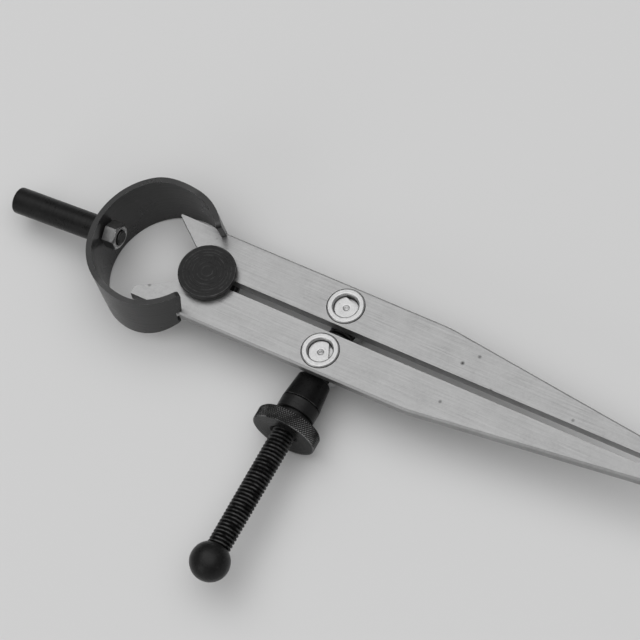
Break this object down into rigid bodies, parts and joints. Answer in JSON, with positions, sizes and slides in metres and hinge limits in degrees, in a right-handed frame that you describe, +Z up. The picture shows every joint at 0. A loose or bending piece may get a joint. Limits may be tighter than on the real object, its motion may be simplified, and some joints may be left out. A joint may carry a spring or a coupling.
{
  "type": "spring divider",
  "caption": "Spring divider for marking out: two flat steel legs with ground points, bowed spring, turned stem, threaded screw and knurled nut.",
  "frame": {"origin": "on the floor, under the middle of the divider's box as it lies", "axes": "+X towards the leg points, +Y towards the leg that anchors the screw, +Z up from the floor"},
  "size_m": [0.2032, 0.0882, 0.0206],
  "materials": {
    "mill_steel": "flat ground steel with a dull mottled face",
    "bright_steel": "bright turned steel",
    "black_oxide": "black oxide on turned steel",
    "blued_spring": "dark tempered spring steel",
    "zinc_plate": "zinc plate"
  },
  "bodies": {
    "handle": {"bow_spring": "blued_spring", "fulcrum_roller": "black_oxide", "handle_stem": "black_oxide", "stem_hex_nut": "zinc_plate"},
    "anchor_leg": {"anchor_leg": "mill_steel", "anchor_washer": "bright_steel"},
    "sliding_leg": {"sliding_leg": "mill_steel", "sliding_washer": "bright_steel"},
    "screw": {"adjusting_screw": "black_oxide", "anchor_stud": "bright_steel", "screw_ball": "black_oxide"},
    "sliding_stud": {"sliding_stud": "bright_steel"},
    "bush": {"thrust_bush": "black_oxide"},
    "nut": {"knurled_nut": "black_oxide"}
  },
  "joints": [
    {"name": "anchor_leg_swing", "type": "hinge", "parent": "handle", "child": "anchor_leg", "pos_m": [-0.04636, 0.02589, 0.01096], "axis": [-0.0348, 0.096, 0.9948], "range_deg": [-0.39, 26.99], "deforming": ["bow_spring"]},
    {"name": "sliding_leg_swing", "type": "hinge", "parent": "handle", "child": "sliding_leg", "pos_m": [-0.04636, 0.02589, 0.01096], "axis": [-0.0348, 0.096, 0.9948], "range_deg": [-26.99, 0.39]},
    {"name": "anchor_stud_swivel", "type": "hinge", "parent": "anchor_leg", "child": "screw", "pos_m": [-0.01146, 0.03249, 0.01155], "axis": [-0.0348, 0.096, 0.9948], "range_deg": [-26.99, 0.39]},
    {"name": "sliding_stud_swivel", "type": "hinge", "parent": "sliding_leg", "child": "sliding_stud", "pos_m": [-0.0115, 0.0193, 0.01282], "axis": [-0.0348, 0.096, 0.9948], "range_deg": [-0.39, 26.99]},
    {"name": "bush_slide", "type": "slide", "parent": "screw", "child": "bush", "axis": [-0.0034, -0.9954, 0.0959], "range_m": [-0.00046, 0.03171]},
    {"name": "nut_spin", "type": "hinge", "parent": "bush", "child": "nut", "pos_m": [-0.01133, 0.00539, 0.00794], "axis": [-0.0034, -0.9954, 0.0959], "range_deg": [-165, 11415]}
  ],
  "couplings": [
    {"joint": "anchor_leg_swing", "follows": "nut_spin", "ratio": 0.0023649},
    {"joint": "sliding_leg_swing", "follows": "nut_spin", "ratio": -0.0023649},
    {"joint": "anchor_stud_swivel", "follows": "nut_spin", "ratio": -0.0023649},
    {"joint": "sliding_stud_swivel", "follows": "nut_spin", "ratio": 0.0023649},
    {"joint": "bush_slide", "follows": "nut_spin", "m_per_rad": 0.00015915}
  ]
}
